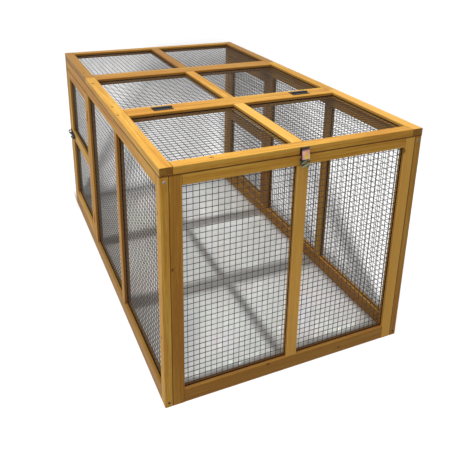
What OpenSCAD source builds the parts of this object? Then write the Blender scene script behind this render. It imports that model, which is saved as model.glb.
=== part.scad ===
// Framed wire-mesh run that stands on the ground against a coop: a front panel
// and two side panels carry a roof in three frames. The front roof frame is a
// lid, each side has a framed door in its rear bay, and the rear end is open.
// X runs across, the front panel faces -Y, and Z is up from the ground.

/* [Run] */
// Width across the two side panels
run_w = 870; // [760:1:1100]
// Length from the front panel to the open rear end
run_l = 1500; // [1400:1:1900]
// Height of the wall panels, without the roof
wall_h = 767; // [650:1:1000]

/* [Timber] */
// Thickness of the wall timber
timber_t = 25; // [20:1:32]
// Width of the wall panels' stiles
stile_w = 38; // [32:1:50]
// Width of the front panel's centre stile
centre_stile_w = 38; // [30:1:60]
// Height of the bottom rails
bottom_rail_h = 50; // [38:1:70]
// Height of the front panel's top rail
front_top_rail_h = 33; // [30:1:60]
// Height of the side panels' top rails
side_top_rail_h = 40; // [30:1:60]
// Distance from one side stile to the next
bay_pitch = 481; // [420:1:520]
// Radius that eases the long edges of the timber
edge_r = 2; // [1:0.5:3]

/* [Roof] */
// Thickness of the roof frames
roof_t = 25; // [20:1:32]
// Width of the roof frames' rails
roof_rail_w = 38; // [32:1:50]
// Width of the rail down the middle of each roof frame
roof_centre_w = 38; // [30:1:60]
// Length of the lid, front to rear
lid_l = 489; // [420:1:560]
// Length of the middle roof frame
roof_middle_l = 499; // [420:1:560]
// Gap between the lid and the middle roof frame
lid_gap = 2; // [1:0.5:4]
// Gap between the two fixed roof frames
roof_joint = 1; // [0.5:0.5:3]
// Gap under the closed lid
lid_seat = 0.3; // [0.2:0.1:0.6]

/* [Side doors] */
// Width of the doors' stiles and of their top and bottom rails
door_rail_w = 38; // [32:1:45]
// Height of the doors' middle rail
door_mid_h = 43; // [38:1:55]
// Height of the middle rail's centre above the ground
door_mid_z = 400; // [330:1:450]
// Gap round each door
door_gap = 3; // [3:0.5:5]

/* [Mesh] */
// Distance from wire to wire
mesh_pitch = 19; // [12:0.5:25]
// Thickness of the wire
wire_t = 1.4; // [1:0.1:2]
// Gap between the upright and the level wires
weld_gap = 0.05; // [0.05:0.05:0.1]
// Depth of the saw groove that holds the mesh
groove_d = 8; // [6:0.5:10]
// Gap between the mesh and each side of its groove
groove_gap = 0.3; // [0.2:0.1:0.4]
// Gap between the mesh's edge and the groove's bottom
mesh_end_gap = 1.5; // [1:0.5:2]
// Width of the band that joins the wires' ends inside the groove
mesh_band = 4.5; // [3:0.5:5]

/* [Hinges] */
// Radial clearance of every pin in its knuckles
pin_clear = 0.05; // [0.03:0.01:0.1]
// Gap between neighbouring knuckles, and between a knuckle and the other leaf
knuckle_gap = 0.4; // [0.3:0.1:0.6]
// Length of a lid hinge
lid_hinge_l = 70; // [60:1:90]
// Reach of a lid hinge's leaf from the pin
lid_leaf_w = 21; // [18:1:28]
// Thickness of a lid hinge's leaf
lid_leaf_t = 1.6; // [1.2:0.1:2]
// Radius of a lid hinge's knuckles
lid_barrel_r = 3.5; // [3:0.1:4.5]
// Radius of a lid hinge's pin
lid_pin_r = 1.6; // [1.2:0.1:2]
// Distance of each lid hinge's middle from the centre line
lid_hinge_x = 270; // [180:1:320]
// Length of a door hinge
door_hinge_l = 45; // [40:1:65]
// Width of a door hinge's leaf inside the gap
door_leaf_w = 20; // [16:1:20]
// Thickness of a door hinge's leaf
door_leaf_t = 1.2; // [0.8:0.1:1.2]
// Radius of a door hinge's knuckles
door_barrel_r = 2.5; // [2.3:0.1:3.2]
// Radius of a door hinge's pin
door_pin_r = 1.1; // [0.9:0.1:1.3]
// Distance from a door's end to the middle of its hinge
door_hinge_inset = 97; // [70:1:120]
// Gap between the panels' outer faces and the knuckles
barrel_stand = 0.2; // [0.2:0.1:0.6]

/* [Door bolts] */
// Length of the bolt's plate
bolt_plate_l = 84; // [76:1:100]
// Height of the bolt's plate
bolt_plate_h = 28; // [26:1:32]
// Thickness of the bolt's plate
bolt_plate_t = 1.5; // [1:0.1:2]
// Radius of the sliding rod
bolt_r = 4.5; // [3.5:0.1:4.7]
// Gap round the rod in its guides
bolt_gap = 0.4; // [0.3:0.1:0.6]
// Thickness of the guides and of the keeper
guide_t = 1.5; // [1:0.1:2]
// Length of each guide along the rod
guide_l = 10; // [8:1:12]
// Gap round the rod in its keeper
keeper_gap = 1; // [0.8:0.1:1.4]
// Width of the keeper's feet beside its arch
keeper_foot = 7; // [6:0.5:9]
// Length of the keeper along the rod
keeper_l = 15; // [10:1:18]
// Distance that the rod slides
bolt_travel = 27; // [22:1:29]
// Distance from the rod's end, slid right out, to the keeper's far edge
rod_short = 4; // [2:0.5:6]
// Distance from each guide to the nearest screw hole and to the knob
guide_room = 8; // [6:0.5:9]
// Reach of the rod's knob from the rod's centre
bolt_knob_l = 11.5; // [10:0.5:14]
// Radius of the rod's knob
bolt_knob_r = 3.6; // [3:0.1:4]

/* [Hasp] */
// Width of the hasp
hasp_w = 28; // [26:1:36]
// Length of the strap from its pin
strap_l = 57.5; // [55:0.5:64]
// Thickness of the strap and of its leaf
strap_t = 1.5; // [1.2:0.1:1.8]
// Distance from the lid's top down to the hasp's pin
hasp_pin_down = 3.6; // [3.4:0.1:8]
// Radius of the hasp's knuckles
hasp_barrel_r = 2.8; // [2.6:0.1:3.2]
// Radius of the hasp's pin
hasp_pin_r = 1.2; // [1:0.1:1.4]
// Distance from the pin down to the middle of the slot
slot_down = 41; // [39:0.5:44]
// Gap at each end of the turn button in the strap's slot
slot_gap = 0.8; // [0.6:0.1:1.2]
// Gap above and below the turn button in the strap's slot
slot_rise = 2.8; // [2:0.1:3]
// Angle at which the strap hangs off the button
strap_ajar = 9; // [9:1:25]
// Width of the staple's plate
staple_w = 26; // [24:1:34]
// Height of the staple's plate
staple_h = 20; // [18:1:24]
// Width of the turn button
button_w = 18; // [16:1:19]
// Height of the turn button
button_h = 6.4; // [6.2:0.1:7]
// Depth of the turn button's head
button_d = 3; // [2.5:0.5:3]
// Gap between the closed strap and the turn button's head
button_lift = 0.5; // [0.4:0.1:0.5]
// Radius of the turn button's shank
button_shank_r = 3; // [2.5:0.1:3]

/* [Screws] */
// Radius of the screw heads on the corner stiles
screw_head_r = 4; // [3:0.1:5]
// Rise of the screw heads
screw_rise = 1.6; // [1:0.1:2.5]
// Radius of the screws' shanks
screw_r = 2; // [1.5:0.1:2.2]
// Length of the screws' shanks
screw_l = 20; // [15:1:30]
// Distance from a stile's end to its screw
screw_inset = 16; // [12:1:25]
// Radius of the screw holes in the fittings
fitting_hole_r = 1.9; // [1.5:0.1:2.2]

/* [Hidden] */
$fn = 48;

wood = "#d9a252";
wire = "#8b8f8c";
black = "#232323";
zinc = "#c9a777";
steel = "#a9adb0";

// Bays are [start, end, bottom, top] in their panel's own plane
front_in = run_w / 2 - timber_t - stile_w;
front_bays = [
  [-front_in, -centre_stile_w / 2, bottom_rail_h, wall_h - front_top_rail_h],
  [centre_stile_w / 2, front_in, bottom_rail_h, wall_h - front_top_rail_h]
];
side_top = wall_h - side_top_rail_h;
side_bays = [
  for (i = [0 : 1])
    [i * bay_pitch + stile_w, (i + 1) * bay_pitch, bottom_rail_h, side_top]
];
post_end = 2 * bay_pitch + stile_w;
door_y0 = post_end + door_gap;
door_y1 = run_l - stile_w - door_gap;
door_z0 = bottom_rail_h + door_gap;
door_z1 = side_top - door_gap;
door_mid0 = door_mid_z - door_mid_h / 2;
door_mid1 = door_mid_z + door_mid_h / 2;
door_bays = [
  [door_y0 + door_rail_w, door_y1 - door_rail_w, door_z0 + door_rail_w, door_mid0],
  [door_y0 + door_rail_w, door_y1 - door_rail_w, door_mid1, door_z1 - door_rail_w]
];

// Roof frames are [start, end] along the run
roof_lid = [0, lid_l];
roof_middle = [lid_l + lid_gap, lid_l + lid_gap + roof_middle_l];
roof_rear = [roof_middle[1] + roof_joint, run_l];
roof_in = run_w / 2 - roof_rail_w;
function roof_bays(f) = [
  [-roof_in, -roof_centre_w / 2, f[0] + roof_rail_w, f[1] - roof_rail_w],
  [roof_centre_w / 2, roof_in, f[0] + roof_rail_w, f[1] - roof_rail_w]
];
roof_top = wall_h + roof_t;
lid_base = wall_h + lid_seat;

groove_w = 2 * wire_t + weld_gap + 2 * groove_gap;
mesh_in = groove_d - mesh_end_gap;

// Hinge axes
lid_axis_y = lid_l + lid_gap / 2;
lid_axis_z = roof_top + lid_barrel_r;
door_axis_x = run_w / 2 + door_barrel_r + barrel_stand;
door_axis_y = post_end + door_gap / 2;
door_hinge_z = [
  door_z0 + door_hinge_inset - door_hinge_l / 2,
  door_z1 - door_hinge_inset - door_hinge_l / 2
];
hasp_axis_y = hasp_barrel_r + barrel_stand;
hasp_axis_z = lid_base + roof_t - hasp_pin_down;

// The strap's loose end is the point furthest forward, and the origin lies
// under the middle of the whole length
front_reach = hasp_axis_y + strap_l * sin(strap_ajar)
  + hasp_barrel_r * cos(strap_ajar);
origin_y = -(run_l - front_reach) / 2;

// Door bolts
bolt_out = bolt_plate_t + bolt_gap + bolt_r;
plate_end = door_y1 - 1;
plate_start = plate_end - bolt_plate_l;
rod_end = plate_end - 1;
arch_r = bolt_r + bolt_gap;
keeper_r = bolt_r + keeper_gap;
keeper_y = rod_end + bolt_travel + rod_short - keeper_l;

// Staple and turn button, straight under the hasp's pin when the strap hangs
button_z = hasp_axis_z - slot_down;
strap_front = hasp_axis_y + hasp_barrel_r;
button_y0 = strap_front + button_lift;

// Moves the run so that its origin is under its middle
module place() {
  translate([0, origin_y, 0]) children();
}

// A left side panel stands on its own XZ plane, outer face at y = 0
module left_side() {
  place() translate([-run_w / 2, 0, 0]) mirror([1, -1, 0]) children();
}

module right_side() {
  mirror([1, 0, 0]) left_side() children();
}

// A roof frame lies on its own XZ plane, underside at y = 0
module roof_frame(base) {
  place() translate([0, 0, base]) mirror([0, 1, -1]) children();
}

// Timber section with eased edges
module section(w, t) {
  translate([edge_r, 0]) square([w - 2 * edge_r, t]);
  translate([0, edge_r]) square([w, t - 2 * edge_r]);
  for (x = [edge_r, w - edge_r]) {
    for (y = [edge_r, t - edge_r]) {
      translate([x, y]) circle(edge_r);
    }
  }
}

// Timber that stands in the panel's plane
module upright(x, w, z0, z1, t) {
  translate([x, 0, z0]) linear_extrude(z1 - z0) section(w, t);
}

// Timber that lies in the panel's plane
module level(z, h, x0, x1, t) {
  translate([x0, 0, z]) rotate([90, 0, 90]) linear_extrude(x1 - x0) section(t, h);
}

// Cuts the bays' saw grooves into the timber
module grooved(bays, t) {
  difference() {
    children();
    for (b = bays) {
      translate([b[0] - groove_d, (t - groove_w) / 2, b[2] - groove_d])
        cube([b[1] - b[0] + 2 * groove_d, groove_w, b[3] - b[2] + 2 * groove_d]);
    }
  }
}

// Parallel wires, joined by a band at each end
module comb(w, l) {
  n = floor(w / mesh_pitch);
  span = (n - 1) * mesh_pitch + wire_t;
  difference() {
    translate([-span / 2, 0]) square([span, l]);
    for (i = [0 : n - 2]) {
      translate([-span / 2 + wire_t + i * mesh_pitch, mesh_band])
        square([mesh_pitch - wire_t, l - 2 * mesh_band]);
    }
  }
}

// Welded mesh of one bay: upright wires outside, level wires behind them
module net(b, t) {
  w = b[1] - b[0];
  h = b[3] - b[2];
  translate([(b[0] + b[1]) / 2, (t - weld_gap) / 2, b[2] - mesh_in])
    rotate([90, 0, 0]) linear_extrude(wire_t) comb(w, h + 2 * mesh_in);
  translate([b[0] - mesh_in, (t + weld_gap) / 2 + wire_t, (b[2] + b[3]) / 2])
    rotate([90, 0, 0]) rotate([0, 0, -90])
      linear_extrude(wire_t) comb(h, w + 2 * mesh_in);
}

// Knuckles along Z with tongues to a leaf at y = base, every other one of five
module knuckles(l, first, base, leaf_t, barrel_r, pin_r) {
  seg = l / 5;
  difference() {
    for (i = [first : 2 : 4]) {
      z0 = i * seg + (i > 0 ? knuckle_gap / 2 : 0);
      z1 = (i + 1) * seg - (i < 4 ? knuckle_gap / 2 : 0);
      translate([0, 0, z0]) linear_extrude(z1 - z0) {
        circle(barrel_r);
        translate([0, base]) square([barrel_r + knuckle_gap + 1, leaf_t]);
      }
    }
    translate([0, 0, -1]) cylinder(r = pin_r + pin_clear, h = l + 2);
  }
}

// Hinge leaf with its knuckles: pin along Z, leaf towards +X at y = base
module hinge_leaf(l, reach, first, base, leaf_t, barrel_r, pin_r, hole_x, rows) {
  start = barrel_r + knuckle_gap;
  difference() {
    translate([start, base, 0]) cube([reach - start, leaf_t, l]);
    for (i = [0 : rows - 1]) {
      translate([hole_x, base - 1, l * (i + 0.5) / rows])
        rotate([-90, 0, 0]) cylinder(r = fitting_hole_r, h = leaf_t + 2);
    }
  }
  knuckles(l, first, base, leaf_t, barrel_r, pin_r);
}

// Lid hinge leaf at each side of the centre line, pin along X
module lid_leaves(first, dir, base) {
  for (x = [-lid_hinge_x, lid_hinge_x]) {
    place() translate([x - lid_hinge_l / 2, lid_axis_y, lid_axis_z])
      mirror([0, dir < 0 ? 1 : 0, 0]) rotate([90, 0, 90])
        hinge_leaf(lid_hinge_l, lid_leaf_w, first, base, lid_leaf_t,
          lid_barrel_r, lid_pin_r, lid_leaf_w * 0.6, 3);
  }
}

// Left door's hinges: leaf in the gap beside the door or beside the post
module left_door_leaves(first, dir) {
  for (z = door_hinge_z) {
    place() translate([-door_axis_x, door_axis_y, z])
      mirror([0, dir < 0 ? 1 : 0, 0])
        hinge_leaf(door_hinge_l, door_barrel_r + barrel_stand + door_leaf_w,
          first, door_gap / 2 - door_leaf_t, door_leaf_t, door_barrel_r,
          door_pin_r, door_barrel_r + door_leaf_w * 0.65, 3);
  }
}

// Arch over the rod, open towards the panel: x out from it, y across the rod
module arch(r, centre) {
  difference() {
    union() {
      translate([0, -r - guide_t]) square([centre, 2 * (r + guide_t)]);
      translate([centre, 0]) circle(r + guide_t);
    }
    translate([-1, -r]) square([centre + 1, 2 * r]);
    translate([centre, 0]) circle(r);
  }
}

// Squared bridge over the rod with trimmed outer corners, drawn as the arch is
module bridge(r, centre) {
  w = r + guide_t;
  top = centre + w;
  trim = guide_t * 0.8;
  difference() {
    union() {
      translate([0, -w]) square([top - trim, 2 * w]);
      translate([0, trim - w]) square([top, 2 * (w - trim)]);
      for (y = [trim - w, w - trim]) {
        translate([top - trim, y]) circle(trim);
      }
    }
    translate([-1, -r]) square([centre + r + 1, 2 * r]);
  }
}

// Left bolt's frame: x out from the panel's face, y across the rod, z along it
module left_bolt_frame(out, y) {
  place() translate([-run_w / 2 - out, y, door_mid_z])
    mirror([1, 0, 0]) rotate([-90, 0, 0]) children();
}

module left_plate() {
  left_bolt_frame(0, plate_start) difference() {
    rotate([0, 90, 0]) translate([-bolt_plate_l, -bolt_plate_h / 2, 0])
      linear_extrude(bolt_plate_t) section(bolt_plate_l, bolt_plate_h);
    for (z = [guide_l + guide_room, bolt_plate_l / 2, bolt_plate_l - guide_l - guide_room]) {
      for (y = [-bolt_plate_h / 2 + 4, bolt_plate_h / 2 - 4]) {
        translate([-1, y, z]) rotate([0, 90, 0])
          cylinder(r = fitting_hole_r, h = bolt_plate_t + 2);
      }
    }
  }
  for (y = [plate_start + 2, plate_end - 2 - guide_l]) {
    left_bolt_frame(bolt_plate_t - 0.3, y)
      linear_extrude(guide_l) arch(arch_r, bolt_gap + bolt_r + 0.3);
  }
}

module left_rod() {
  rod_l = rod_end - plate_start - 1;
  left_bolt_frame(bolt_out, plate_start + 1) {
    cylinder(r = bolt_r, h = rod_l - 2);
    translate([0, 0, rod_l - 2]) cylinder(r1 = bolt_r, r2 = bolt_r - 1.5, h = 2);
    translate([0, 0, guide_l + guide_room + bolt_knob_r]) rotate([0, 90, 0]) {
      cylinder(r = bolt_knob_r, h = bolt_knob_l - 1.2);
      translate([0, 0, bolt_knob_l - 1.2])
        cylinder(r1 = bolt_knob_r, r2 = bolt_knob_r - 1.2, h = 1.2);
    }
  }
}

module left_keeper() {
  w = keeper_r + guide_t + keeper_foot;
  left_bolt_frame(0, keeper_y) {
    linear_extrude(keeper_l) bridge(keeper_r, bolt_out);
    difference() {
      linear_extrude(keeper_l) difference() {
        translate([0, -w]) square([guide_t, 2 * w]);
        translate([-1, -keeper_r]) square([guide_t + 2, 2 * keeper_r]);
      }
      for (y = [-w + keeper_foot / 2, w - keeper_foot / 2]) {
        translate([-1, y, keeper_l / 2]) rotate([0, 90, 0])
          cylinder(r = fitting_hole_r, h = guide_t + 2);
      }
    }
  }
}

// Screw in a corner stile's front edge
module corner_screw(x, z, r, l) {
  place() translate([x, 0, z]) rotate([-90, 0, 0]) cylinder(r = r, h = l);
}

module corner_holes() {
  for (x = [-1, 1]) {
    for (z = [screw_inset, wall_h - screw_inset]) {
      corner_screw(x * (run_w - timber_t) / 2, z, screw_r, screw_l);
    }
  }
}

// Front panel
module front_left_stile() {
  color(wood) place() grooved(front_bays, timber_t)
    upright(-front_in - stile_w, stile_w, 0, wall_h, timber_t);
}

module front_right_stile() {
  color(wood) place() grooved(front_bays, timber_t)
    upright(front_in, stile_w, 0, wall_h, timber_t);
}

module front_centre_stile() {
  color(wood) place() grooved(front_bays, timber_t)
    upright(-centre_stile_w / 2, centre_stile_w, bottom_rail_h,
      wall_h - front_top_rail_h, timber_t);
}

module front_top_rail() {
  color(wood) place() grooved(front_bays, timber_t)
    level(wall_h - front_top_rail_h, front_top_rail_h, -front_in, front_in, timber_t);
}

module front_bottom_rail() {
  color(wood) place() grooved(front_bays, timber_t)
    level(0, bottom_rail_h, -front_in, front_in, timber_t);
}

module front_mesh() {
  color(wire) place() for (b = front_bays) net(b, timber_t);
}

// Side panels, drawn as the left one
module side_top_rail() {
  grooved(side_bays, timber_t)
    level(side_top, side_top_rail_h, stile_w, run_l - stile_w, timber_t);
}

module side_bottom_rail() {
  grooved(side_bays, timber_t)
    level(0, bottom_rail_h, stile_w, run_l - stile_w, timber_t);
}

module side_front_stile() {
  grooved(side_bays, timber_t) upright(0, stile_w, 0, wall_h, timber_t);
}

module side_middle_stile() {
  grooved(side_bays, timber_t)
    upright(bay_pitch, stile_w, bottom_rail_h, side_top, timber_t);
}

module side_door_post() {
  grooved(side_bays, timber_t)
    upright(2 * bay_pitch, stile_w, bottom_rail_h, side_top, timber_t);
}

module side_rear_stile() {
  upright(run_l - stile_w, stile_w, 0, wall_h, timber_t);
}

module side_mesh() {
  for (b = side_bays) net(b, timber_t);
}

module left_top_rail() { color(wood) left_side() side_top_rail(); }
module left_bottom_rail() { color(wood) left_side() side_bottom_rail(); }
module left_front_stile() {
  color(wood) difference() {
    left_side() side_front_stile();
    corner_holes();
  }
}
module left_middle_stile() { color(wood) left_side() side_middle_stile(); }
module left_door_post() { color(wood) left_side() side_door_post(); }
module left_rear_stile() { color(wood) left_side() side_rear_stile(); }
module left_mesh() { color(wire) left_side() side_mesh(); }
module right_top_rail() { color(wood) right_side() side_top_rail(); }
module right_bottom_rail() { color(wood) right_side() side_bottom_rail(); }
module right_front_stile() {
  color(wood) difference() {
    right_side() side_front_stile();
    corner_holes();
  }
}
module right_middle_stile() { color(wood) right_side() side_middle_stile(); }
module right_door_post() { color(wood) right_side() side_door_post(); }
module right_rear_stile() { color(wood) right_side() side_rear_stile(); }
module right_mesh() { color(wire) right_side() side_mesh(); }

// Doors, drawn as the left one
module door_stiles() {
  grooved(door_bays, timber_t) {
    upright(door_y0, door_rail_w, door_z0, door_z1, timber_t);
    upright(door_y1 - door_rail_w, door_rail_w, door_z0, door_z1, timber_t);
  }
}

module door_rails() {
  x0 = door_y0 + door_rail_w;
  x1 = door_y1 - door_rail_w;
  grooved(door_bays, timber_t) {
    level(door_z0, door_rail_w, x0, x1, timber_t);
    level(door_mid0, door_mid_h, x0, x1, timber_t);
    level(door_z1 - door_rail_w, door_rail_w, x0, x1, timber_t);
  }
}

module door_mesh() {
  for (b = door_bays) net(b, timber_t);
}

module left_door_stiles() { color(wood) left_side() door_stiles(); }
module left_door_rails() { color(wood) left_side() door_rails(); }
module left_door_mesh() { color(wire) left_side() door_mesh(); }
module right_door_stiles() { color(wood) right_side() door_stiles(); }
module right_door_rails() { color(wood) right_side() door_rails(); }
module right_door_mesh() { color(wire) right_side() door_mesh(); }

// Roof frames: x across the run, z along it
module roof_side(f, x) {
  grooved(roof_bays(f), roof_t) upright(x, roof_rail_w, f[0], f[1], roof_t);
}

module roof_cross(f, z) {
  grooved(roof_bays(f), roof_t) level(z, roof_rail_w, -roof_in, roof_in, roof_t);
}

module roof_centre(f) {
  grooved(roof_bays(f), roof_t)
    upright(-roof_centre_w / 2, roof_centre_w, f[0] + roof_rail_w,
      f[1] - roof_rail_w, roof_t);
}

module roof_mesh(f) {
  for (b = roof_bays(f)) net(b, roof_t);
}

module roof_middle_side_rails() {
  color(wood) roof_frame(wall_h)
    for (x = [-run_w / 2, roof_in]) roof_side(roof_middle, x);
}
module roof_middle_front_rail() {
  color(wood) roof_frame(wall_h) roof_cross(roof_middle, roof_middle[0]);
}
module roof_middle_rear_rail() {
  color(wood) roof_frame(wall_h) roof_cross(roof_middle, roof_middle[1] - roof_rail_w);
}
module roof_middle_centre_rail() {
  color(wood) roof_frame(wall_h) roof_centre(roof_middle);
}
module roof_middle_mesh() { color(wire) roof_frame(wall_h) roof_mesh(roof_middle); }

module roof_rear_side_rails() {
  color(wood) roof_frame(wall_h)
    for (x = [-run_w / 2, roof_in]) roof_side(roof_rear, x);
}
module roof_rear_front_rail() {
  color(wood) roof_frame(wall_h) roof_cross(roof_rear, roof_rear[0]);
}
module roof_rear_back_rail() {
  color(wood) roof_frame(wall_h) roof_cross(roof_rear, roof_rear[1] - roof_rail_w);
}
module roof_rear_centre_rail() {
  color(wood) roof_frame(wall_h) roof_centre(roof_rear);
}
module roof_rear_mesh() { color(wire) roof_frame(wall_h) roof_mesh(roof_rear); }

module lid_left_rail() {
  color(wood) roof_frame(lid_base) roof_side(roof_lid, -run_w / 2);
}
module lid_right_rail() {
  color(wood) roof_frame(lid_base) roof_side(roof_lid, roof_in);
}
module lid_front_rail() {
  color(wood) roof_frame(lid_base) roof_cross(roof_lid, 0);
}
module lid_rear_rail() {
  color(wood) roof_frame(lid_base) roof_cross(roof_lid, lid_l - roof_rail_w);
}
module lid_centre_rail() { color(wood) roof_frame(lid_base) roof_centre(roof_lid); }
module lid_mesh() { color(wire) roof_frame(lid_base) roof_mesh(roof_lid); }

// Hinges between the lid and the middle roof frame
module roof_hinge_leaves() { color(black) lid_leaves(0, 1, -lid_barrel_r); }
module lid_hinge_leaves() {
  color(black) lid_leaves(1, -1, -lid_barrel_r + lid_seat);
}
module lid_hinge_pins() {
  color(black) for (x = [-lid_hinge_x, lid_hinge_x]) {
    place() translate([x - lid_hinge_l / 2, lid_axis_y, lid_axis_z])
      rotate([0, 90, 0]) cylinder(r = lid_pin_r, h = lid_hinge_l);
  }
}

// Hinges between the doors and their posts
module door_post_hinge_leaves() {
  color(zinc) {
    left_door_leaves(0, -1);
    mirror([1, 0, 0]) left_door_leaves(0, -1);
  }
}
module left_door_hinge_leaves() { color(zinc) left_door_leaves(1, 1); }
module right_door_hinge_leaves() {
  color(zinc) mirror([1, 0, 0]) left_door_leaves(1, 1);
}
module door_hinge_pins() {
  color(zinc) for (x = [-door_axis_x, door_axis_x]) {
    for (z = door_hinge_z) {
      place() translate([x, door_axis_y, z]) cylinder(r = door_pin_r, h = door_hinge_l);
    }
  }
}

// Door bolts
module left_bolt_plate() { color(black) left_plate(); }
module left_bolt() { color(black) left_rod(); }
module right_bolt_plate() { color(black) mirror([1, 0, 0]) left_plate(); }
module right_bolt() { color(black) mirror([1, 0, 0]) left_rod(); }
module bolt_keepers() {
  color(black) {
    left_keeper();
    mirror([1, 0, 0]) left_keeper();
  }
}

// Hasp frame: pin along Z, leaf and strap towards +X, the panel at +Y
module hasp_frame(turn) {
  place() translate([0, -hasp_axis_y, hasp_axis_z]) rotate([-turn, 0, 0])
    rotate([0, 90, 0]) translate([0, 0, -hasp_w / 2]) children();
}

module hasp_leaf() {
  leaf_l = roof_t - hasp_pin_down - 1;
  color(zinc) hasp_frame(0)
    hinge_leaf(hasp_w, leaf_l, 0, hasp_axis_y - strap_t, strap_t,
      hasp_barrel_r, hasp_pin_r, leaf_l - 5, 2);
}

module hasp_strap() {
  start = hasp_barrel_r + knuckle_gap;
  end_r = 7;
  color(zinc) hasp_frame(strap_ajar) {
    difference() {
      translate([0, -hasp_barrel_r + strap_t, 0]) rotate([90, 0, 0])
        linear_extrude(strap_t) {
          translate([start, 0]) square([strap_l - start - end_r, hasp_w]);
          translate([start, end_r]) square([strap_l - start, hasp_w - 2 * end_r]);
          for (y = [end_r, hasp_w - end_r]) {
            translate([strap_l - end_r, y]) circle(end_r);
          }
        }
      translate([slot_down - button_h / 2 - slot_rise, -hasp_barrel_r - 1,
        (hasp_w - button_w) / 2 - slot_gap])
        cube([button_h + 2 * slot_rise, strap_t + 2, button_w + 2 * slot_gap]);
    }
    knuckles(hasp_w, 1, -hasp_barrel_r, strap_t, hasp_barrel_r, hasp_pin_r);
  }
}

module hasp_pin() {
  color(zinc) hasp_frame(0) cylinder(r = hasp_pin_r, h = hasp_w);
}

module staple_plate() {
  color(zinc) place() translate([-staple_w / 2, 0, button_z - staple_h / 2])
    rotate([90, 0, 0]) linear_extrude(strap_t) difference() {
      section(staple_w, staple_h);
      translate([staple_w / 2, staple_h / 2]) circle(button_shank_r + pin_clear);
      for (x = [4.5, staple_w - 4.5]) {
        translate([x, staple_h / 2]) circle(fitting_hole_r);
      }
    }
}

// Turn button: its head passes the strap's slot and locks across it
module staple_knob() {
  color(zinc) place() translate([0, -0.1, button_z]) rotate([90, 0, 0]) {
    cylinder(r = button_shank_r, h = button_y0);
    translate([0, 0, strap_t + 0.2]) cylinder(r = button_shank_r + 1.2, h = 0.8);
    translate([0, 0, button_y0 - 0.1]) linear_extrude(button_d) {
      translate([-button_w / 2 + button_h / 2, -button_h / 2])
        square([button_w - button_h, button_h]);
      for (x = [-1, 1]) {
        translate([x * (button_w - button_h) / 2, 0]) circle(button_h / 2);
      }
    }
  }
}

// Domed screws in the corner stiles
module frame_screws() {
  dome_r = (screw_head_r * screw_head_r + screw_rise * screw_rise) / (2 * screw_rise);
  color(steel) for (x = [-1, 1]) {
    for (z = [screw_inset, wall_h - screw_inset]) {
      place() translate([x * (run_w - timber_t) / 2, 0, z]) rotate([90, 0, 0])
        rotate_extrude() intersection() {
          translate([0, screw_rise - dome_r]) circle(dome_r);
          square([screw_head_r + 1, screw_rise + 1]);
        }
      corner_screw(x * (run_w - timber_t) / 2, z, screw_r, screw_l - 1);
    }
  }
}

front_left_stile();
front_right_stile();
front_centre_stile();
front_top_rail();
front_bottom_rail();
front_mesh();
left_top_rail();
left_bottom_rail();
left_front_stile();
left_middle_stile();
left_door_post();
left_rear_stile();
left_mesh();
right_top_rail();
right_bottom_rail();
right_front_stile();
right_middle_stile();
right_door_post();
right_rear_stile();
right_mesh();
left_door_stiles();
left_door_rails();
left_door_mesh();
right_door_stiles();
right_door_rails();
right_door_mesh();
roof_middle_side_rails();
roof_middle_front_rail();
roof_middle_rear_rail();
roof_middle_centre_rail();
roof_middle_mesh();
roof_rear_side_rails();
roof_rear_front_rail();
roof_rear_back_rail();
roof_rear_centre_rail();
roof_rear_mesh();
lid_left_rail();
lid_right_rail();
lid_front_rail();
lid_rear_rail();
lid_centre_rail();
lid_mesh();
roof_hinge_leaves();
lid_hinge_leaves();
lid_hinge_pins();
door_post_hinge_leaves();
left_door_hinge_leaves();
right_door_hinge_leaves();
door_hinge_pins();
left_bolt_plate();
left_bolt();
right_bolt_plate();
right_bolt();
bolt_keepers();
hasp_leaf();
hasp_strap();
hasp_pin();
staple_plate();
staple_knob();
frame_screws();
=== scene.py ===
"""Timber-framed wire-mesh run: looks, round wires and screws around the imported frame."""

import math
import random

import bmesh
import bpy
from mathutils import Matrix, Vector


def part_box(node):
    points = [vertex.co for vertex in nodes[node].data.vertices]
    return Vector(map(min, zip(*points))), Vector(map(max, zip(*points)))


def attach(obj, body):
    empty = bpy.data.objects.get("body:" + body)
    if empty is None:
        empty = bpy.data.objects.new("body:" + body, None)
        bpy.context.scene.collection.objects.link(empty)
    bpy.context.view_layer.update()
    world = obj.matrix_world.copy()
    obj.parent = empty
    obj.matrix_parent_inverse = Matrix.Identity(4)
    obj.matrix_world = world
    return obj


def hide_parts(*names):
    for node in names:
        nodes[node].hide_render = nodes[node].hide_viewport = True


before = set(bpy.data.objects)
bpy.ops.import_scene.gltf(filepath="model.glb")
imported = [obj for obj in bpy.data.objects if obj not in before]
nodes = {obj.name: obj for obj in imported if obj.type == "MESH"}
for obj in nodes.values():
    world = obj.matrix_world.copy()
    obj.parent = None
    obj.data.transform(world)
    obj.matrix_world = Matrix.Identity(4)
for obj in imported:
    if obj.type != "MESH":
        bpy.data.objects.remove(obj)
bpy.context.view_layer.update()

MM = 0.001

# The run in mm: half its width, its length, its height to the roof's top, and the height of
# the gap under the roof frames
HALF_WIDTH = 435
LENGTH = 1500
HEIGHT = 792
ROOF_GAP = 767.4
FRONT_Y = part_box("front_bottom_rail")[0][1]

# The mesh: the wires' diameter and pitch, how far they reach into the boards, and how far an
# end may stray from its row
WIRE = 1.9 * MM
PITCH = 19 * MM
GRIP = 6.5 * MM
STRAY = 0.15 * MM
WIRE_SIDES = 8

# The doors: the width of the top and bottom rails and of the middle one, and its centre's height
DOOR_RAIL = 38 * MM
DOOR_MIDDLE_RAIL = 43 * MM
DOOR_MIDDLE = 400 * MM


# ---- Camera -----------------------------------------------------------------

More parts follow.
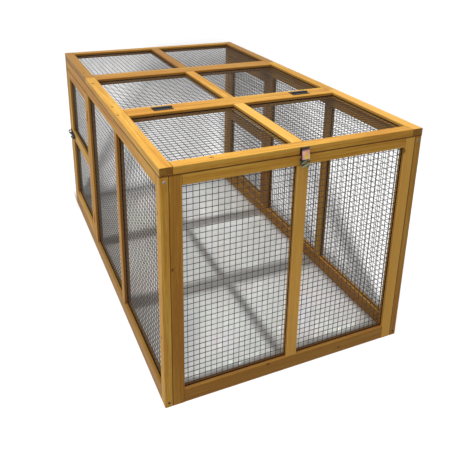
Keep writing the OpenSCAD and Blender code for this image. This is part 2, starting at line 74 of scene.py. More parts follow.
# Fitted to the photograph's corners, rails and stiles: place in widths of the run from the
# middle of its front, and turn, dip and roll in degrees
CAMERA_PLACE = (-0.9563, -1.5083, 1.5948)
CAMERA_TURNS = (24.678, 19.654, 1.1115)

# In the photograph's pixels: its longer side, the focal length, and how far the line of sight
# lies above the picture's middle
PHOTO_SIDE = 470
FOCAL = 574.4
SIGHT_RISE = 105
SENSOR = 36


def photo_camera():
    place = Vector(CAMERA_PLACE) * (2 * HALF_WIDTH * MM) + Vector((0, FRONT_Y, 0))
    turn, dip, roll = (math.radians(angle) for angle in CAMERA_TURNS)
    level = math.cos(dip)
    ahead = Vector((math.sin(turn) * level, math.cos(turn) * level, -math.sin(dip)))
    right = ahead.cross(Vector((0, 0, 1))).normalized()
    up = right.cross(ahead)
    right, up = (
        math.cos(roll) * right + math.sin(roll) * up,
        -math.sin(roll) * right + math.cos(roll) * up,
    )
    data = bpy.data.cameras.new("camera")
    data.sensor_width = SENSOR
    data.lens = SENSOR * FOCAL / PHOTO_SIDE
    data.shift_y = -SIGHT_RISE / PHOTO_SIDE
    data.clip_start, data.clip_end = 0.05, 100
    camera = bpy.data.objects.new("camera", data)
    bpy.context.collection.objects.link(camera)
    matrix = Matrix((right, up, -ahead)).transposed().to_4x4()
    matrix.translation = place
    camera.matrix_world = matrix
    bpy.context.scene.camera = camera


# ---- Shader maths -----------------------------------------------------------


def srgb(r, g, b):
    """A linear colour from 0 to 255 display values."""
    def line(v):
        v /= 255
        return v / 12.92 if v <= 0.04045 else ((v + 0.055) / 1.055) ** 2.4
    return (line(r), line(g), line(b), 1)


def grey(level):
    return (level, level, level, 1)


class Value:
    """A number socket that adds its Math nodes as it is used."""

    def __init__(self, maker, socket):
        self.maker = maker
        self.socket = socket

    def _math(self, operation, *values):
        settings = {"operation": operation}
        return self.maker.node("ShaderNodeMath", settings, dict(enumerate(values)))

    def __add__(self, other):
        return self._math("ADD", self, other)

    def __sub__(self, other):
        return self._math("SUBTRACT", self, other)

    def __rsub__(self, other):
        return self._math("SUBTRACT", other, self)

    def __mul__(self, other):
        return self._math("MULTIPLY", self, other)

    def __truediv__(self, other):
        return self._math("DIVIDE", self, other)

    def __abs__(self):
        return self._math("ABSOLUTE", self)

    def over(self, limit):
        """1 above the limit, 0 below it."""
        return self._math("GREATER_THAN", self, limit)

    def top(self, other):
        return self._math("MAXIMUM", self, other)

    def least(self, other):
        return self._math("MINIMUM", self, other)

    __radd__ = __add__
    __rmul__ = __mul__


class Nodes:
    """A node tree whose nodes are added one call at a time."""

    def __init__(self, tree):
        self.tree = tree

    def node(self, kind, settings=None, inputs=None, output=0):
        """A new node: its settings first, then its sockets' values or links."""
        made = self.tree.nodes.new(kind)
        for key, value in (settings or {}).items():
            if key == "stops":
                ramp = made.color_ramp
                while len(ramp.elements) < len(value):
                    ramp.elements.new(0.5)
                for element, (place, colour) in zip(ramp.elements, value):
                    element.position = place
                    element.color = colour
            else:
                setattr(made, key, value)
        for key, value in (inputs or {}).items():
            self.feed(made.inputs[key], value)
        return Value(self, made.outputs[output])

    def feed(self, socket, value):
        if isinstance(value, Value):
            self.tree.links.new(value.socket, socket)
        else:
            socket.default_value = value

    def seen(self):
        """1 for what the camera sees, directly or in a gloss or a glass, 0 for other light."""
        camera, glossy, passed = (
            self.node("ShaderNodeLightPath", output="Is %s Ray" % kind)
            for kind in ("Camera", "Glossy", "Transmission")
        )
        return camera.top(glossy).top(passed)


class Finish(Nodes):
    """A material, with the settings of its shader's own sockets."""

    def __init__(self, name, **sockets):
        self.material = bpy.data.materials.new(name)
        self.material.use_nodes = True
        super().__init__(self.material.node_tree)
        self.shader = self.tree.nodes["Principled BSDF"]
        for socket, value in sockets.items():
            self.set(socket.replace("_", " "), value)

    def set(self, name, value):
        self.feed(self.shader.inputs[name], value)

    def here(self):
        return self.node("ShaderNodeTexCoord", output="Object")

    def facing(self):
        """How far the surface faces along X, Y and Z, either way."""
        normal = self.node("ShaderNodeTexCoord", output="Normal")
        return self.split(self.vector("ABSOLUTE", normal))

    def noise(self, vector, scale, detail, rough=0.55, twist=0.0):
        return self.node("ShaderNodeTexNoise", None, {
            "Vector": vector, "Scale": scale, "Detail": detail,
            "Roughness": rough, "Distortion": twist,
        })

    def ramp(self, value, *stops):
        return self.node("ShaderNodeValToRGB", {"stops": stops}, {0: value})

    def fade(self, value, start, end):
        """0 where the value is at start or before it, 1 at end or past it."""
        return self.node("ShaderNodeMapRange", None, {
            "Value": value, "From Min": start, "From Max": end,
        })

    def vector(self, operation, *vectors):
        output = "Value" if operation == "LENGTH" else "Vector"
        inputs = dict(enumerate(vectors))
        return self.node("ShaderNodeVectorMath", {"operation": operation}, inputs, output)

    def split(self, vector):
        parts = self.node("ShaderNodeSeparateXYZ", None, {0: vector}).socket.node.outputs
        return [Value(self, part) for part in parts]

    def mix(self, factor, a, b):
        return self.node(
            "ShaderNodeMix", {"data_type": "RGBA", "clamp_factor": True},
            {0: factor, 6: a, 7: b}, output=2,
        )

    def bump(self, height, strength, distance):
        self.set("Normal", self.node("ShaderNodeBump", None, {
            "Height": height, "Strength": strength, "Distance": distance,
        }))


# ---- The mesh's bays --------------------------------------------------------


def low(node, axis):
    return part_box(node)[0][axis]


def high(node, axis):
    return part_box(node)[1][axis]


def front_bays():
    """The two bays of the front panel, along X and Z."""
    bottom, top = high("front_bottom_rail", 2), low("front_top_rail", 2)
    return [
        (high("front_left_stile", 0), low("front_centre_stile", 0), bottom, top),
        (high("front_centre_stile", 0), low("front_right_stile", 0), bottom, top),
    ]


def side_bays(side):
    """The two fixed bays of a side panel, along Y and Z."""
    bottom, top = high(side + "_bottom_rail", 2), low(side + "_top_rail", 2)
    return [
        (high(side + "_front_stile", 1), low(side + "_middle_stile", 1), bottom, top),
        (high(side + "_middle_stile", 1), low(side + "_door_post", 1), bottom, top),
    ]


def door_bays(side):
    """The two bays of a side door, along Y and Z."""
    stiles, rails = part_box(side + "_door_stiles"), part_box(side + "_door_rails")
    y0, y1 = rails[0][1], rails[1][1]
    return [
        (y0, y1, stiles[0][2] + DOOR_RAIL, DOOR_MIDDLE - DOOR_MIDDLE_RAIL / 2),
        (y0, y1, DOOR_MIDDLE + DOOR_MIDDLE_RAIL / 2, stiles[1][2] - DOOR_RAIL),
    ]


def roof_bays(centre, first, last):
    """The two bays of a roof frame, along X and Y."""
    y0, y1 = high(first, 1), low(last, 1)
    outer = high(first, 0)
    return [(-outer, low(centre, 0), y0, y1), (high(centre, 0), outer, y0, y1)]


# Each net: its CAD node, its body, its bays, the two axes that it spans and the one that it is
# thin along, and whether the wires along the second axis lie at the high side of the last
NETS = [
    ("front_mesh", "root", front_bays(), (0, 2, 1), False),
    ("left_mesh", "root", side_bays("left"), (1, 2, 0), False),
    ("right_mesh", "root", side_bays("right"), (1, 2, 0), True),
    ("left_door_mesh", "left_door", door_bays("left"), (1, 2, 0), False),
    ("right_door_mesh", "right_door", door_bays("right"), (1, 2, 0), True),
    ("roof_middle_mesh", "root", roof_bays(
        "roof_middle_centre_rail", "roof_middle_front_rail", "roof_middle_rear_rail",
    ), (0, 1, 2), False),
    ("roof_rear_mesh", "root", roof_bays(
        "roof_rear_centre_rail", "roof_rear_front_rail", "roof_rear_back_rail",
    ), (0, 1, 2), False),
    ("lid_mesh", "lid", roof_bays(
        "lid_centre_rail", "lid_front_rail", "lid_rear_rail",
    ), (0, 1, 2), False),
]


# ---- Timber -----------------------------------------------------------------

# The golden stain, and how far each shade of board is taken from it towards a colour. The shades
# differ from board to board, but the deepest one, on the front and left bottom rails and the rear
# roof frame's long rails, is painted shade, darker where less light reaches them
GOLDEN = srgb(227, 165, 62)
SHADES = {
    "golden": (0.0, GOLDEN),
    "brown": (0.35, srgb(140, 88, 30)),
    "pale": (0.7, srgb(255, 194, 92)),
    "deep": (0.6, srgb(140, 90, 34)),
}

# Each group of boards: long axis, and the boards of each shade
BOARDS = {
    "front_rails": (0, {"golden": ["front_top_rail"], "deep": ["front_bottom_rail"]}),
    "front_stiles": (2, {
        "pale": ["front_centre_stile", "front_right_stile"],
        "brown": ["front_left_stile"],
    }),
    "side_rails": (1, {
        "golden": ["left_top_rail", "left_door_rails", "right_top_rail", "right_bottom_rail"],
        "brown": ["right_door_rails"],
        "deep": ["left_bottom_rail"],
    }),
    "side_stiles": (2, {
        "golden": ["left_front_stile", "left_door_post", "left_door_stiles",
                   "right_middle_stile", "right_rear_stile"],
        "brown": ["left_middle_stile", "left_rear_stile", "right_front_stile",
                  "right_door_post", "right_door_stiles"],
    }),
    "roof_cross": (0, {
        "golden": ["lid_front_rail", "lid_rear_rail", "roof_middle_front_rail"],
        "brown": ["roof_middle_rear_rail", "roof_rear_front_rail", "roof_rear_back_rail"],
    }),
    "roof_long": (1, {
        "golden": ["lid_left_rail", "roof_middle_side_rails", "roof_middle_centre_rail"],
        "pale": ["lid_centre_rail", "lid_right_rail"],
        "deep": ["roof_rear_side_rails", "roof_rear_centre_rail"],
    }),
}

# Joints between boards, which get painted shade, as boxes of |x|, distance from the front face
# and height, in mm
ROOF_SEAM = [((0, -10, 764.6), (450, 1510, 770.2))]
CORNER_SEAM = [((408.8, -1, 0), (411.2, 27.4, 768))]
SEAMS = {
    "front_rails": ROOF_SEAM + [
        ((0, -1, 48.8), (19, 26, 51.2)), ((0, -1, 732.8), (19, 26, 735.2)),
    ],
    "front_stiles": ROOF_SEAM + CORNER_SEAM + [
        ((370.8, -1, z0), (373.2, 26, z1)) for z0, z1 in ((-1, 50), (734, 768))
    ],
    "side_rails": ROOF_SEAM + [
        ((409, y, z - 1.8), (436, y + 38, z + 1.8)) for y in (481, 962) for z in (50, 727)
    ],
    "side_stiles": ROOF_SEAM + CORNER_SEAM + [
        ((409, y - 1.8, z0), (436, y + 1.8, z1))
        for y in (38, 1462) for z0, z1 in ((-1, 50), (727, 768))
    ] + [
        ((409, y - 1.8, z0), (436, y + 1.8, z1))
        for y in (1041, 1421) for z0, z1 in ((53, 91), (378.5, 421.5), (686, 724))
    ],
    "roof_cross": ROOF_SEAM + [
        ((0, y - 1.8, 766), (19, y + 1.8, 793)) for y in (38, 451, 529, 952, 1029, 1462)
    ],
    "roof_long": ROOF_SEAM + [
        ((395.2, y, 766), (398.8, y + 38, 793)) for y in (0, 451, 491, 952, 991, 1462)
    ],
}

# The knots that show, as x, distance from the front face, height and radius, in mm
KNOTS = {
    "roof_long": [
        (-425, 1077, 792, 6), (-424, 893, 792, 8), (-424, 567, 792, 6), (-428, 470, 792, 5),
    ],
    "roof_cross": [(-280, 22, 792, 6), (60, 1480, 792, 6)],
    "side_stiles": [(-435, 25, 653, 5), (-435, 20, 246, 5)],
    "front_stiles": [(-404, 0, 481, 5), (372, 2, 722, 7)],
    "front_rails": [(-86, 0, 45, 6), (190, 0, 20, 5)],
}

# The axis that the mesh of each panel is thin along, and how far the painted shade at the mouth
# of its groove reaches into the board and past the mesh, in mm
THIN_AXIS = {"front": 1, "side": 0, "roof": 2}
GROOVE_DEPTH = 8
GROOVE_LIP = 1.3

# How close to an outer face of the run still counts as that face, and the height below which
# a rail is a sill and a screw is darker, in mm
SKIN = 2.2
NEAR_GROUND = 100


def bay_grooves(group):
    """The mesh's groove round each bay of a panel, as boxes like those in SEAMS."""
    thin = THIN_AXIS[group.split("_")[0]]
    boxes = []
    for node, _, bays, (u, v, w), _ in NETS:
        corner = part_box(node)
        # In |x|, the boxes of the right side serve the left one too
        if w != thin or (w == 0 and corner[0][0] < 0):
            continue
        for u0, u1, v0, v1 in bays:
            if u == 0 and u0 < 0:
                continue
            first, last = [0, 0, 0], [0, 0, 0]
            first[u], last[u] = u0 / MM - GROOVE_DEPTH, u1 / MM + GROOVE_DEPTH
            first[v], last[v] = v0 / MM - GROOVE_DEPTH, v1 / MM + GROOVE_DEPTH
            first[w], last[w] = corner[0][w] / MM - GROOVE_LIP, corner[1][w] / MM + GROOVE_LIP
            first[1] -= FRONT_Y / MM
            last[1] -= FRONT_Y / MM
            boxes.append((first, last))
    return boxes


def within(f, point, boxes):
    """1 where a point is inside any of these boxes of mm, 0 elsewhere."""
    near = None
    for first, last in boxes:
        middle = tuple((a + b) / 2 * MM for a, b in zip(first, last))
        half = tuple((b - a) / 2 * MM for a, b in zip(first, last))
        away = f.vector("ABSOLUTE", f.vector("SUBTRACT", point, middle))
        x, y, z = f.split(f.vector("DIVIDE", away, half))
        out = x.top(y).top(z)
        near = out if near is None else near.least(out)
    return 1 - near.over(1.0)


def knots(f, point, group, grain):
    """1 in the heart of a knot, 0 outside, longer along the grain; None for a group with none."""
    stretch = [1.0] * 3
    stretch[grain] = 0.62
    near = None
    for x, y, z, radius in KNOTS.get(group, ()):
        away = f.vector("SUBTRACT", point, (x * MM, y * MM, z * MM))
        out = f.vector("LENGTH", f.vector("MULTIPLY", away, tuple(stretch))) / (radius * MM)
        near = out if near is None else near.least(out)
    if near is None:
        return None
    return f.ramp(near, (0.25, grey(1)), (0.8, grey(0.3)), (1.0, grey(0)))


def planed_wood(f, here, grain, shade):
    """The tone of a planed board, and the rings, pores and patches that it comes from."""
    step = list(SHADES).index(shade)
    offset = (step * 3.17 + grain, step * 1.71, step * 2.43)

    def along(across, lengthways):
        """Object coordinates drawn out along the grain, and shifted for each shade."""
        scale = [across] * 3
        scale[grain] = lengthways
        return f.node("ShaderNodeMapping", None, {
            "Vector": here, "Scale": tuple(scale), "Location": offset,
        })

    sweep = f.noise(along(9, 0.9), 1.0, 2, 0.5)
    rings = f.noise(along(120, 2.4), 1.0, 3, 0.6, 0.6)
    pores = f.noise(along(800, 20), 1.0, 3, 0.7)
    patches = f.noise(along(14, 7), 1.0, 3, 0.6)
    tone = f.ramp(
        rings * 0.4 + pores * 0.26 + sweep * 0.34,
        (0.37, srgb(184, 116, 36)), (0.5, GOLDEN), (0.62, srgb(251, 205, 96)),
    )
    tone = f.mix(f.fade(patches, 0.42, 0.7) * 0.3, tone, srgb(206, 140, 50))
    tone = f.mix(f.fade(pores, 0.42, 0.3) * 0.35, tone, srgb(150, 88, 26))
    share, stain = SHADES[shade]
    return f.mix(share, tone, stain), rings, pores, patches


def stained_timber(group, grain, shade):
    """Golden-stained softwood with its grain along one axis, in one of the board shades."""
    f = Finish("stained_%s_%s" % (group, shade), Specular_IOR_Level=0.22)
    here = f.here()
    tone, rings, pores, patches = planed_wood(f, here, grain, shade)
    local = f.vector("SUBTRACT", here, (0, FRONT_Y, 0))
    folded = f.vector("ABSOLUTE", local)
    x, y, z = f.split(folded)
    facing = f.facing()

    relief = rings * 0.5 + pores * 0.5
    knot = knots(f, local, group, grain)
    if knot is not None:
        tone = f.mix(knot * 0.85, tone, srgb(92, 50, 16))
        relief = relief - knot * 0.3

    # Painted shade: the inner faces and those round a bay are browner than the outer ones and the
    # lit tops of the sills
    outer = x.over((HALF_WIDTH - SKIN) * MM).top(z.over((HEIGHT - SKIN) * MM))
    outer = outer.top(y.over((LENGTH - SKIN) * MM)).top(1 - y.over(SKIN * MM))
    inner = 1 - outer
    if group == "side_rails":
        inner = inner * (1 - facing[2].over(0.5) * (1 - z.over(NEAR_GROUND * MM)))
    tone = f.mix(inner * 0.5, tone, srgb(120, 78, 40))

    # Sawn ends are darker and rougher than the planed faces
    end = facing[grain].over(0.9)
    tone = f.mix(end * (patches * 0.7 + 0.3), tone, srgb(112, 70, 22))

    # Dark joints: painted shade in the gaps where two boards meet, with the stain that gathers
    # there:
    # on their eased edges, and all along under the roof
    eased = 1 - facing[0].top(facing[1]).top(facing[2]).over(0.975)
    under_roof = (1 - abs(z - ROOF_GAP * MM).over(2.8 * MM)) * (0.2 + patches)
    joint_stain_and_shade = within(f, folded, SEAMS[group]) * eased.top(under_roof)
    tone = f.mix(joint_stain_and_shade * 0.8, tone, srgb(98, 50, 10))

    # Painted shade at the mouths of the saw grooves that hold the mesh
    tone = f.mix(within(f, folded, bay_grooves(group)) * 0.9, tone, srgb(52, 28, 16))

    f.set("Base Color", tone)
    f.set("Roughness", 0.46 + pores * 0.2 + end * 0.2)
    f.bump(relief, 0.35, 0.6 * MM)
    return f.material


# ---- Metal ------------------------------------------------------------------


def galvanised_wire():
    f = Finish("galvanised_wire", Metallic=0.35)
    mottle = f.noise(f.here(), 160, 3)
    f.set("Base Color", f.ramp(mottle, (0.35, srgb(56, 51, 46)), (0.65, srgb(88, 81, 72))))
    f.set("Roughness", 0.42 + mottle * 0.25)
    return f.material


def black_coat():
    f = Finish("black_coat")
    speck = f.noise(f.here(), 900, 4)
    scuff = f.fade(f.noise(f.here(), 60, 4), 0.6, 0.72)
    f.set("Base Color", f.mix(scuff * 0.5, srgb(38, 36, 34), srgb(84, 78, 70)))
    f.set("Roughness", 0.38 + speck * 0.22)
    f.set("Metallic", scuff * 0.4)
    f.bump(speck, 0.2, 0.2 * MM)
    return f.material


def yellow_zinc():
    """Yellow zinc plate, with the pink and green sheen of its film."""
    f = Finish("yellow_zinc", Metallic=0.75)
    film = f.noise(f.here(), 34, 2, 0.5, 0.8)
    fine = f.noise(f.here(), 500, 3)
    f.set("Base Color", f.ramp(
        film,
        (0.32, srgb(178, 124, 96)), (0.46, srgb(204, 150, 110)),
        (0.58, srgb(210, 168, 98)), (0.68, srgb(188, 168, 90)),
    ))
    f.set("Roughness", 0.28 + fine * 0.2)
    f.bump(fine, 0.15, 0.2 * MM)
    return f.material


# Heights and distances across the hasp's plate, in mm: its two warm patches (centre, how much
# they are flattened, size and colour), and the places where its other tones begin and end, among
# them its painted shadows and highlights
HASP_PATCHES = [
    ((3, 766), 0.6, 10, srgb(222, 176, 78)),
    ((5.5, 761), 1.1, 7.5, srgb(214, 206, 60)),
]
HASP_KNUCKLES = (779, 785)
HASP_END_BANDS = (757, 754)
HASP_EDGE_SHADOW = (-10.5, -12)
HASP_EDGE_SHADOW_FOOT = 750
END_BANDS_FOOT, END_BANDS_HEIGHT = 731, 26


def hasp_plate():
    """The hasp's plate: dark at the knuckles, pink and yellow down the strap, banded at its end
    with tarnish, painted shadow and painted highlight, and with a painted shadow down its left
    edge.
    """
    f = Finish("hasp_plate", Metallic=0.55)
    here = f.here()
    film = f.noise(here, 90, 3, 0.6, 0.4)
    fine = f.noise(here, 700, 3)
    x, _, z = f.split(here)
    across = x / MM
    height = z / MM + (film - 0.5) * 8
    tone = f.ramp(film, (0.35, srgb(204, 140, 142)), (0.6, srgb(236, 178, 166)))
    for (patch_x, patch_z), flattened, size, colour in HASP_PATCHES:
        away = f.vector("SUBTRACT", here, (patch_x * MM, 0, patch_z * MM))
        away = f.vector("LENGTH", f.vector("MULTIPLY", away, (1, 0, flattened)))
        tone = f.mix(f.fade(away / (size * MM) + (film - 0.5), 1.0, 0.3), tone, colour)
    tone = f.mix(f.fade(height, *HASP_KNUCKLES), tone, srgb(78, 60, 50))

    # The strap's end in dark and grey-green bands: grey-green tarnish, with the painted shadow
    # and painted highlight of its slot and turn button; and a painted shadow down its left edge
    tarnish_and_painted_light = f.ramp(
        (height - across * 0.35 - END_BANDS_FOOT) / END_BANDS_HEIGHT,
        (0.0, srgb(66, 56, 26)), (0.14, srgb(120, 124, 70)), (0.3, srgb(164, 168, 130)),
        (0.42, srgb(58, 34, 26)), (0.56, srgb(66, 40, 34)), (0.68, srgb(160, 166, 132)),
        (0.8, srgb(92, 96, 64)), (0.92, srgb(38, 28, 20)),
    )
    tone = f.mix(f.fade(height, *HASP_END_BANDS), tone, tarnish_and_painted_light)
    # Painted shadow down the strap's left edge, where it stands off the rail
    edge = f.fade(across, *HASP_EDGE_SHADOW) * height.over(HASP_EDGE_SHADOW_FOOT)
    tone = f.mix(edge, tone, srgb(26, 18, 12))
    f.set("Base Color", tone)
    f.set("Roughness", 0.3 + fine * 0.25)
    f.bump(fine, 0.15, 0.2 * MM)
    return f.material


def screw_steel():
    """Bright screw steel, duller on the right, and darker on the screws near the ground."""
    f = Finish("screw_steel", Metallic=0.8)
    here = f.here()
    brushed = f.noise(here, 800, 3)
    x, _, z = f.split(here)
    dull = (1 - z.over(NEAR_GROUND * MM)).top(x.over(0) * 0.5)
    bright = f.ramp(brushed, (0.3, srgb(150, 154, 156)), (0.7, srgb(204, 206, 206)))
    dark_steel = f.ramp(brushed, (0.35, srgb(62, 52, 44)), (0.65, srgb(120, 108, 96)))
    f.set("Base Color", f.mix(dull, bright, dark_steel))
    f.set("Roughness", 0.32 + brushed * 0.2 + dull * 0.2)
    return f.material


# ---- Put the finishes on the CAD nodes --------------------------------------


def dress(name, material):
    mesh = nodes[name].data
    mesh.materials.clear()
    mesh.materials.append(material)


def finish_nodes(black, zinc, hasp):
    for group, (grain, shades) in BOARDS.items():
        for shade, names in shades.items():
            boards = stained_timber(group, grain, shade)
            for name in names:
                dress(name, boards)
    for name in nodes:
        if name.startswith(("hasp", "staple")):
            dress(name, hasp)
        elif "door" in name and "hinge" in name:
            dress(name, zinc)
        elif "hinge" in name or "bolt" in name:
            dress(name, black)


# ---- Pieces -----------------------------------------------------------------


def piece(name, shape, material, body):
    """A finished object from a bmesh, riding on its body."""
    mesh = bpy.data.meshes.new(name)
    shape.to_mesh(mesh)
    shape.free()
    mesh.materials.append(material)
    made = bpy.data.objects.new(name, mesh)
    bpy.context.collection.objects.link(made)
    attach(made, body)
    return made


def add_wire(shape, start, end):
    """One round wire from start to end."""
    start, end = Vector(start), Vector(end)
    way = end - start
    turned = way.to_track_quat("Z", "Y").to_matrix().to_4x4()
    made = bmesh.ops.create_cone(
        shape, cap_ends=True, cap_tris=False, segments=WIRE_SIDES,
        radius1=WIRE / 2, radius2=WIRE / 2, depth=way.length,
        matrix=Matrix.Translation((start + end) / 2) @ turned,
    )
    for vert in made["verts"]:
        for face in vert.link_faces:
            face.smooth = len(face.verts) == 4


def rows(first, last):
    """The places of the wires between two boards, a pitch apart and centred."""
    count = int((last - first) / PITCH + 1e-6)
    middle = (first + last) / 2
    return [middle + (i - (count - 1) / 2) * PITCH for i in range(count)]


def make_nets(material):
    """Round wires over each bay, in the two planes of the CAD net's wires."""
    sway = random.Random(5)
    for node, body, bays, (u, v, w), outer_high in NETS:
        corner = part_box(node)
        near, far = corner[0][w] + WIRE / 2, corner[1][w] - WIRE / 2
        if outer_high:
            near, far = far, near
        shape = bmesh.new()
        for u0, u1, v0, v1 in bays:
            # First the wires along v, then those along u
            for across, along, (a0, a1), (b0, b1), depth in (
                (u, v, (u0, u1), (v0, v1), near), (v, u, (v0, v1), (u0, u1), far),
            ):
                for at in rows(a0, a1):
                    start, end = [0, 0, 0], [0, 0, 0]
                    start[across] = at + sway.uniform(-STRAY, STRAY)
                    end[across] = at + sway.uniform(-STRAY, STRAY)
                    start[along], end[along] = b0 - GRIP, b1 + GRIP
                    start[w] = end[w] = depth
                    add_wire(shape, start, end)
        made = piece(node.replace("_mesh", "_wires"), shape, material, body)
        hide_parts(node)


def lift(shape, face, scale, height):
    """Extrude a face upwards, its outline scaled about the screw's axis."""
    made = bmesh.ops.extrude_face_region(shape, geom=[face])["geom"]
    verts = [item for item in made if isinstance(item, bmesh.types.BMVert)]
    bmesh.ops.scale(shape, verts=verts, vec=(scale, scale, 1))
    bmesh.ops.translate(shape, verts=verts, vec=(0, 0, height))
    top = next(item for item in made if isinstance(item, bmesh.types.BMFace))
    return top, verts


# A screw head's dome, foot to crown: each step's outline to the last one's, and its share of
# the rise. Then its cross recess: outline, waist between the arms, floor and depth.
SCREW_SIDES = 12
DOME = [(1.0, 0.3), (0.86, 0.45), (0.72, 0.25)]
RECESS, WAIST, RECESS_FLOOR, RECESS_DEPTH = 0.8, 0.37, 0.85, 0.35


def add_screw(shape, place, out, radius, rise, turn):
    """A domed screw head with a cross recess, its foot at place and its axis along out."""
    head = bmesh.new()
    bmesh.ops.create_circle(
        head, cap_ends=True, segments=SCREW_SIDES, radius=radius,
        matrix=Matrix.Rotation(math.pi / SCREW_SIDES, 4, "Z"),
    )
    head.faces.ensure_lookup_table()
    face = head.faces[0]
    for scale, share in DOME:
        face, _ = lift(head, face, scale, rise * share)
    face, verts = lift(head, face, RECESS, 0)
    for vert in verts:
        diagonal = abs(math.cos(2 * math.atan2(vert.co.y, vert.co.x))) < 0.1
        if diagonal:
            vert.co.xy *= WAIST
    lift(head, face, RECESS_FLOOR, -rise * RECESS_DEPTH)
    bmesh.ops.recalc_face_normals(head, faces=head.faces)
    matrix = Matrix.Translation(place) @ Vector(out).to_track_quat("Z", "Y").to_matrix().to_4x4()
    matrix = matrix @ Matrix.Rotation(turn, 4, "Z")
    bmesh.ops.transform(head, matrix=matrix, verts=head.verts)
    mesh = bpy.data.meshes.new("head")
    head.to_mesh(mesh)
    head.free()
    shape.from_mesh(mesh)
    bpy.data.meshes.remove(mesh)


# The lid hinges' distance from the middle and their length in mm, and where their screws are
HINGE_X, HINGE_LENGTH = 270, 70
LID_X = [side * HINGE_X + step * HINGE_LENGTH / 3 for side in (-1, 1) for step in (-1, 0, 1)]

# The screws: piece, body, finish, slot, places (x, distance from the front face, z) in mm,
# outward axis, radius and rise of the head in mm
SIDES = (("left", -1), ("right", 1))
SCREWS = [
    ("lid_leaf_screws", "lid", "black", "black_fittings",
     [(x, 477.4, 793.9) for x in LID_X], (0, 0, 1), 3.0, 0.9),
    ("roof_leaf_screws", "root", "black", "black_fittings",
     [(x, 502.6, 793.6) for x in LID_X], (0, 0, 1), 3.0, 0.9),
    ("hasp_leaf_screws", "lid", "hasp", "plated_fittings",
     [(x, -1.1, 773.3) for x in (-7, 7)], (0, -1, 0), 1.85, 0.35),
    ("staple_screws", "root", "hasp", "plated_fittings",
     [(x, -1.1, 747.7) for x in (-8.5, 8.5)], (0, -1, 0), 1.85, 0.35),
    ("corner_screws", "root", "steel", "bright_screws",
     [(x, 0, z) for x in (-422.5, 422.5) for z in (16, 751)], (0, -1, 0), 4.0, 1.6),
] + [
    (side + "_bolt_screws", side + "_door", "black", "black_fittings",
     [(sign * 436.5, y, z) for y in (1392, 1416, 1440) for z in (390, 410)],
     (sign, 0, 0), 3.0, 0.9)
    for side, sign in SIDES
] + [
    (side + "_keeper_screws", "root", "black", "black_fittings",
     [(sign * 436.5, 1480.5, z) for z in (389.5, 410.5)],
     (sign, 0, 0), 3.0, 0.9)
    for side, sign in SIDES
]


def make_screws(finishes):
    turns = random.Random(11)
    for name, body, finish, slot, places, out, radius, rise in SCREWS:
        shape = bmesh.new()
        for x, y, z in places:
            place = (x * MM, FRONT_Y + y * MM, z * MM)
            turn = turns.uniform(0, math.pi / 2)
            add_screw(shape, place, out, radius * MM, rise * MM, turn)
        made = piece(name, shape, finishes[finish], body)
        if name == "corner_screws":
            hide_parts("frame_screws")


# ---- Light and floor --------------------------------------------------------

# Lamps: kind, place, aim, size (a sun's in degrees, a disc's in metres) and energy. The key
# casts the roof's shadow almost straight down, and the inner sun deepens it on the ground
# inside. The wash whitens the floor, and throws the run's soft shadow away to the back.
OVERHEAD = (0, -0.063, 1)
LAMPS = {
    "key": ("SUN", OVERHEAD, (0, 0, 0), 2.2, 1.0),
    "left_fill": ("AREA", (-6, -1.5, 3.2), (0, 0, 0.4), 3.5, 78),
    "front_top": ("AREA", (-0.7, FRONT_Y - 0.15, 2.5), (-0.2, FRONT_Y + 0.2, 0), 1.2, 19),
    "inner_sun": ("SUN", OVERHEAD, (0, 0, 0), 2.2, 1.1),
    "floor_wash": ("SUN", (-0.3736, -0.902, 0.2164), (0, 0, 0), 6, 17.7),
}
WORLD_LEVEL = 0.29

# In metres: the front and back edges of the ground inside, where it begins to show and where it
# is whole, and its rise above the floor; then how far the floor reaches
INSIDE_FRONT, INSIDE_BACK = FRONT_Y + 0.008, 0.95
INSIDE_FADE = (0.9, 0.65)
INSIDE_RISE = 0.2 * MM
FLOOR_REACH = 30


def set_world(level):
    """A white surround where it is seen, and a softer one of this level as light."""
    world = bpy.data.worlds.new("studio")
    bpy.context.scene.world = world
    world.use_nodes = True
    sky = Nodes(world.node_tree)
    background = sky.tree.nodes["Background"].inputs
    background["Color"].default_value = grey(1)
    sky.feed(background["Strength"], sky.seen() * (1 - level) + level)


def add_lamp(name, kind, place, aim, size, energy):
    data = bpy.data.lights.new(name, kind)
    data.energy = energy
    if kind == "SUN":
        data.angle = math.radians(size)
    else:
        data.shape = "DISK"
        data.size = size
    lamp = bpy.data.objects.new(name, data)
    bpy.context.collection.objects.link(lamp)
    lamp.location = place
    lamp.rotation_mode = "QUATERNION"
    lamp.rotation_quaternion = (Vector(place) - Vector(aim)).to_track_quat("Z", "Y")
    return lamp


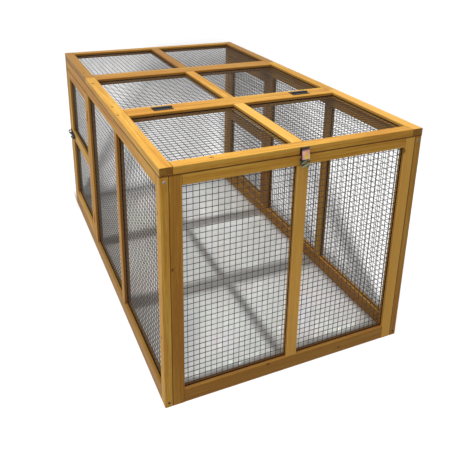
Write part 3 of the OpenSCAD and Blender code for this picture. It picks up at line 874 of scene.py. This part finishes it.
def add_ground(name, near, far, height, bounce, seen_colour):
    """A flat stage surface: one grey for the light it reflects, another where it is seen."""
    shape = bmesh.new()
    bmesh.ops.create_grid(shape, x_segments=1, y_segments=1, size=0.5)
    bmesh.ops.scale(shape, verts=shape.verts, vec=(far[0] - near[0], far[1] - near[1], 1))
    middle = [(a + b) / 2 for a, b in zip(near, far)]
    bmesh.ops.translate(shape, verts=shape.verts, vec=(*middle, height))
    mesh = bpy.data.meshes.new(name)
    shape.to_mesh(mesh)
    shape.free()
    ground = bpy.data.objects.new(name, mesh)
    bpy.context.collection.objects.link(ground)
    paint = Finish(name, Roughness=1.0, Specular_IOR_Level=0.0)
    paint.set("Base Color", paint.mix(paint.seen(), grey(bounce), seen_colour(paint)))
    mesh.materials.append(paint.material)
    return ground


def mottled(paint):
    """The ground inside: a mottled pale grey that fades out towards its back edge."""
    here = paint.here()
    paint.set("Alpha", paint.fade(paint.split(here)[1], *INSIDE_FADE))
    mottle = paint.noise(here, 9, 4)
    return paint.ramp(mottle, (0.3, (0.77, 0.78, 0.76, 1)), (0.7, (0.83, 0.84, 0.82, 1)))


def link_light(lamp, ground, state):
    """Let a lamp light this ground alone ("INCLUDE"), or everything but it ("EXCLUDE")."""
    group = bpy.data.collections.new(lamp.name + "_linking")
    group.objects.link(ground)
    group.collection_objects[0].light_linking.link_state = state
    lamp.light_linking.receiver_collection = group


def studio():
    bpy.context.scene.view_settings.view_transform = "Standard"
    set_world(WORLD_LEVEL)
    half = HALF_WIDTH * MM
    inside = add_ground(
        "ground_inside", (-half, INSIDE_FRONT), (half, INSIDE_BACK), INSIDE_RISE, 0.36, mottled,
    )
    floor = add_ground(
        "floor", (-FLOOR_REACH, -FLOOR_REACH), (FLOOR_REACH, FLOOR_REACH), 0, 0.12,
        lambda _: grey(0.55),
    )
    lamps = {name: add_lamp(name, *lamp) for name, lamp in LAMPS.items()}
    link_light(lamps["inner_sun"], inside, "INCLUDE")
    link_light(lamps["floor_wash"], floor, "INCLUDE")
    link_light(lamps["front_top"], inside, "EXCLUDE")


photo_camera()
black, hasp, steel = black_coat(), hasp_plate(), screw_steel()
finish_nodes(black, yellow_zinc(), hasp)
dress("frame_screws", steel)
make_nets(galvanised_wire())
make_screws({"black": black, "hasp": hasp, "steel": steel})
studio()
